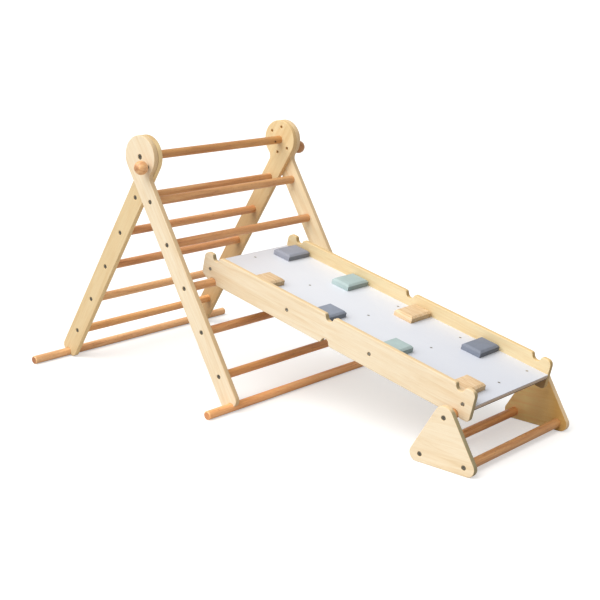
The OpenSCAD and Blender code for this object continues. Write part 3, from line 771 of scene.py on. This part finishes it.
# ---------------------------------------------------------------- ramp panels
pa = grain_angle(math.cos(SLOPE), -math.sin(SLOPE))
panel_holes = [circle(x, BOARD_LO + BOARD_T / 2, 6.6, 28) for x in PANEL_SCREW_X]
for i, far in enumerate((False, True)):
    side = "far" if far else "near"
    m = AT_RAMP @ FAR if far else AT_RAMP
    o = sheet_mesh(f"ramp_panel_{side}_ply", panel_outline(), panel_holes, -PANEL_Y, PANEL_T, m)
    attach(o, "ramp")
    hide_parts(f"ramp_panel_{side}")
    ymid = SHIFT + (PANEL_Y - PANEL_T / 2) * (1 if far else -1)
    # painted light and shade: the far panel's inner face darker below the board, and the edges that look to +X darker
    # on both panels
    o.data.materials.append(birch_ply(f"birch_panel_{side}", ((HOOK_X - X_MID) * MM, ymid * MM, HOOK_Z * MM), pa, PANEL_T * MM, 9.3 + i * 2.1, (0.96, 0.92, 0.76) if far else None,
                                     (0, -0.041, -0.034, (1.0, 1.0, 1.0), (0.46, 0.38, 0.30)) if far else None, (0.64, 0.62, 0.50) if far else (0.45, 0.49, 0.45)))

# ---------------------------------------------------------------- stand plates
plate_holes = [circle(x, z, 8.0, 32) for x, z in ((0, STAND_H), (-STAND_HALF, STAND_LOW), (STAND_HALF, STAND_LOW))]
for i, far in enumerate((False, True)):
    side = "far" if far else "near"
    m = AT_STAND @ FAR if far else AT_STAND
    o = sheet_mesh(f"stand_plate_{side}_ply", plate_outline(), plate_holes, -STAND_W / 2, PLY, m)
    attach(o, "stand")
    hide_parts(f"stand_plate_{side}")
    ymid = SHIFT + (STAND_W / 2 - PLY / 2) * (1 if far else -1)
    # painted light and shade: the far plate's inner face lighter towards the ladder and darker towards +X under the
    # ramp, and the near plate's edges that look to +X darker
    o.data.materials.append(birch_ply(f"birch_plate_{side}", ((STAND_X - X_MID) * MM, ymid * MM, 0), math.pi / 2, PLY * MM, 14.9 + i * 2.3, None,
                                     (2, -0.08, 0.04, (0.75, 0.53, 0.22), (1.56, 1.40, 0.94)) if far else None, None if far else (0.42, 0.48, 0.46)))

# ---------------------------------------------------------------- rungs and bars: the real cylinders keep their shape
bars = [n for n in NODE if "rung" in n and "screws" not in n] + ["front_foot_bar", "rear_foot_bar", "stand_top_bar", "stand_front_bar", "stand_rear_bar"]
# per-bar tints, partly the beech's own variation and partly painted light and shade, as with the fourth rear rung and
# the front foot bar, lightened where they lie in shade
BAR_TINTS_AND_PAINTED_LIGHT = {"top_rung": (0.82, 0.78, 0.60), "front_rung_1": (0.93, 0.96, 0.92), "rear_rung_1": (0.93, 0.96, 0.92), "front_rung_2": (0.92, 0.88, 0.82),
         "front_rung_5": (1.0, 0.92, 0.8), "front_rung_3": (1.08, 1.20, 1.28), "rear_rung_4": (1.2, 1.4, 1.55),
         "rear_rung_5": (1.17, 1.25, 1.15), "front_foot_bar": (1.4, 1.42, 1.42), "rear_foot_bar": (1.2, 1.38, 1.58),
         "stand_front_bar": (0.81, 0.79, 0.69), "stand_top_bar": (0.84, 0.84, 0.8), "stand_rear_bar": (1.28, 1.28, 1.2)}
for i, n in enumerate(sorted(bars)):
    me = NODE[n].data
    me.materials.clear()
    me.materials.append(beech("beech_" + n, 1.3 + i * 0.77, BAR_TINTS_AND_PAINTED_LIGHT.get(n, (1, 1, 1)), cap=(0.74, 0.60, 0.50) if n == "rear_foot_bar" else None))

# ---------------------------------------------------------------- screws
zinc_a = zinc("zinc_screws", 0.7)
zinc_b = zinc("zinc_small_screws", 1.9, -36)


def big_screw():
    return screw_bm(7.5, 1.9, 3.0, 58.0, 2.9, 2.6)


def rung_spots(at, y_out, s_list):
    out = []
    for x, z in s_list:
        m = Matrix.Translation((x, -y_out + 1.0, z)) @ TO_NEAR
        out += [at @ m, FAR @ at @ m]
    return out


place_many("front_rung_screw_set", big_screw, rung_spots(AT_FRONT, OUT_Y, front_screws), "front_ladder", "front_rung_screws", zinc_a)
place_many("rear_rung_screw_set", big_screw, rung_spots(AT_REAR, IN_Y, front_screws), "rear_ladder", "rear_rung_screws", zinc_a)
stand_spots = []
for x, z in ((0, STAND_H), (-STAND_HALF, STAND_LOW), (STAND_HALF, STAND_LOW)):
    m = Matrix.Translation((x, -STAND_W / 2 + 1.0, z)) @ TO_NEAR
    stand_spots += [AT_STAND @ m, AT_STAND @ FAR @ m]
place_many("stand_screw_set", big_screw, stand_spots, "stand", "stand_screws", zinc_a)
panel_spots = []
for x in PANEL_SCREW_X:
    m = Matrix.Translation((x, -PANEL_Y + 0.9, BOARD_LO + BOARD_T / 2)) @ TO_NEAR
    panel_spots += [AT_RAMP @ m, AT_RAMP @ FAR @ m]
place_many("ramp_panel_screw_set", lambda: screw_bm(6.0, 1.7, 2.5, 50.0, 2.2, 2.0), panel_spots, "ramp", "ramp_panel_screws", zinc_b)

# ---------------------------------------------------------------- other hardware keeps its node
for n in ("front_foot_screws", "rear_foot_screws", "pivot_barrel_nuts", "pivot_washers", "pivot_spacers", "pivot_bolts",
          "near_lock_pin", "far_lock_pin", "ramp_board_screws", "climbing_block_screws"):
    me = NODE[n].data
    me.materials.clear()
    me.materials.append(zinc("zinc_" + n, 0.3 + len(n) * 0.17, -50 if "board" in n else 0))


# ---------------------------------------------------------------- knobs
def knob():
    kr = 25.5
    base = STROKE + 0.3
    zc = base + kr - 3
    prof = [(5.1, base + 8), (5.1, base + 0.6), (5.7, base)]
    a0 = math.degrees(math.asin((base - zc) / kr))
    rim = kr * math.cos(math.radians(a0))
    prof += [(rim - 1.4, base), (rim - 0.5, base + 0.35)]
    n = 40
    for i in range(1, n):
        a = math.radians(a0 + 3.0 + (90 - a0 - 3.0) * i / n)
        prof.append((kr * math.cos(a), zc + kr * math.sin(a)))
    prof.append((0, zc + kr))
    return lathe(prof, 72)


for far in (False, True):
    side = "far" if far else "near"
    m = Matrix.Translation((lock_world[0] - X_MID, -OUT_Y, PIVOT_Z + lock_world[1])) @ TO_NEAR
    if far:
        m = FAR @ m
    # the knob tints are partly painted light and shade: the near knob lightened, the far one darkened
    place_many(f"{side}_knob_ball", knob, [m], f"{side}_lock", f"{side}_lock_knob", beech(f"beech_{side}_knob", 7.7 + far, (0.66, 0.62, 0.60) if far else (1.14, 1.28, 1.38)))

# ---------------------------------------------------------------- board
for n in ("ramp_board", "ramp_board_face", "ramp_battens"):
    NODE[n].data.materials.clear()
brd = AT_RAMP @ Vector((0, 0, BOARD_LO))
NODE["ramp_board"].data.materials.append(board_ply("board_ply", (brd.x * MM, brd.y * MM, brd.z * MM)))
NODE["ramp_board_face"].data.materials.append(laminate("white_facing"))
NODE["ramp_battens"].data.materials.append(board_ply("batten_ply", (brd.x * MM, brd.y * MM, brd.z * MM - 0.02)))


# ---------------------------------------------------------------- climbing blocks
def block_mesh(name, x, y, matrix):
    l, w, h, c = 80.0, 120.0, BLOCK_H, 7.0
    bm = bmesh.new()
    lo = [bm.verts.new((sx * l / 2, sy * w / 2, 0)) for sx, sy in ((-1, -1), (1, -1), (1, 1), (-1, 1))]
    mi = [bm.verts.new((sx * l / 2, sy * w / 2, h - c)) for sx, sy in ((-1, -1), (1, -1), (1, 1), (-1, 1))]
    hi = [bm.verts.new((sx * (l / 2 - c), sy * (w / 2 - c), h)) for sx, sy in ((-1, -1), (1, -1), (1, 1), (-1, 1))]
    bm.faces.new(lo[::-1])
    bm.faces.new(hi)
    for i in range(4):
        j = (i + 1) % 4
        bm.faces.new((lo[i], lo[j], mi[j], mi[i]))
        bm.faces.new((mi[i], mi[j], hi[j], hi[i]))
    bm.normal_update()
    bmesh.ops.bevel(bm, geom=list(bm.edges), offset=0.9, segments=3, profile=0.5, affect="EDGES", clamp_overlap=True)
    bm.transform(place(matrix @ Matrix.Translation((x, y, BOARD_TOP))))
    bmesh.ops.recalc_face_normals(bm, faces=bm.faces)
    me = bpy.data.meshes.new(name)
    bm.to_mesh(me)
    bm.free()
    finish_mesh(me, 24, 2.0e-4)
    return new_obj(name, me)


# one grey paint in three shades, lighter on block 1 and darker on block 7: painted sheen and shade
GREYS_LIT_AND_SHADED, MINT = ((160, 164, 178), (148, 156, 172), (128, 135, 151)), (180, 200, 200)
blocks = []
for k in range(4):
    blocks.append((MID - 528 + 300 * k, BLOCK_Y, ("grey", "mint", "wood", "grey")[k]))
    blocks.append((MID - 376 + 300 * k, -BLOCK_Y, ("wood", "grey", "mint", "wood")[k]))
for i, (x, y, kind) in enumerate(blocks):
    n = f"climbing_block_{i + 1}"
    o = block_mesh(n + "_body", x, y, AT_RAMP)
    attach(o, "ramp")
    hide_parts(n)
    c = AT_RAMP @ Vector((x, y, BOARD_TOP))
    c = (c.x * MM, c.y * MM, c.z * MM)
    if kind == "wood":
        o.data.materials.append(block_wood("block_wood_%d" % i, c, 2.0 + i))
    else:
        o.data.materials.append(paint(f"paint_{kind}_{i}", GREYS_LIT_AND_SHADED[i // 3] if kind == "grey" else MINT, c, 2.0 + i))

# ---------------------------------------------------------------- floor and light
floor_mesh = bpy.data.meshes.new("floor")
fb = bmesh.new()
bmesh.ops.create_grid(fb, x_segments=2, y_segments=2, size=500.0)
fb.to_mesh(floor_mesh)
fb.free()
floor = new_obj("floor", floor_mesh)
floor.location = (0, 0, -0.0005)
fm = Mat("floor_white")
# seen directly the floor is white; it throws less light back, so undersides stay darker
seen = fm.nt.nodes.new("ShaderNodeLightPath").outputs["Is Camera Ray"]
pale = fm.mix(seen, (0.58, 0.57, 0.55), (0.66, 0.66, 0.66))
floor_mesh.materials.append(fm.done(pale, 0.9, spec=0.1))
fm.put(fm.sh.inputs["Emission Color"], (1.0, 1.0, 1.0, 1.0))
fm.put(fm.sh.inputs["Emission Strength"], fm.math("MULTIPLY", seen, 0.46))

world = bpy.data.worlds.new("studio")
scene.world = world
world.use_nodes = True
world.node_tree.nodes["Background"].inputs[0].default_value = (1.0, 0.98, 0.94, 1.0)
world.node_tree.nodes["Background"].inputs[1].default_value = 0.5
# the backdrop seen directly is as white as the floor
wn = world.node_tree
wm = wn.nodes.new("ShaderNodeMath")
wm.operation = "MULTIPLY_ADD"
wm.inputs[1].default_value = 0.6
wm.inputs[2].default_value = 0.5
wn.links.new(wn.nodes.new("ShaderNodeLightPath").outputs["Is Camera Ray"], wm.inputs[0])
wn.links.new(wm.outputs[0], wn.nodes["Background"].inputs[1])


def sun(name, direction, strength, angle, color=(1, 1, 1)):
    li = bpy.data.lights.new(name, "SUN")
    li.energy = strength
    li.angle = math.radians(angle)
    li.color = color
    o = bpy.data.objects.new(name, li)
    bpy.context.scene.collection.objects.link(o)
    o.rotation_euler = Vector(direction).to_track_quat("Z", "Y").to_euler()
    return o


sun("key", (-0.26, -0.85, 1.06), 2.96, 60, (1.0, 0.99, 0.97))
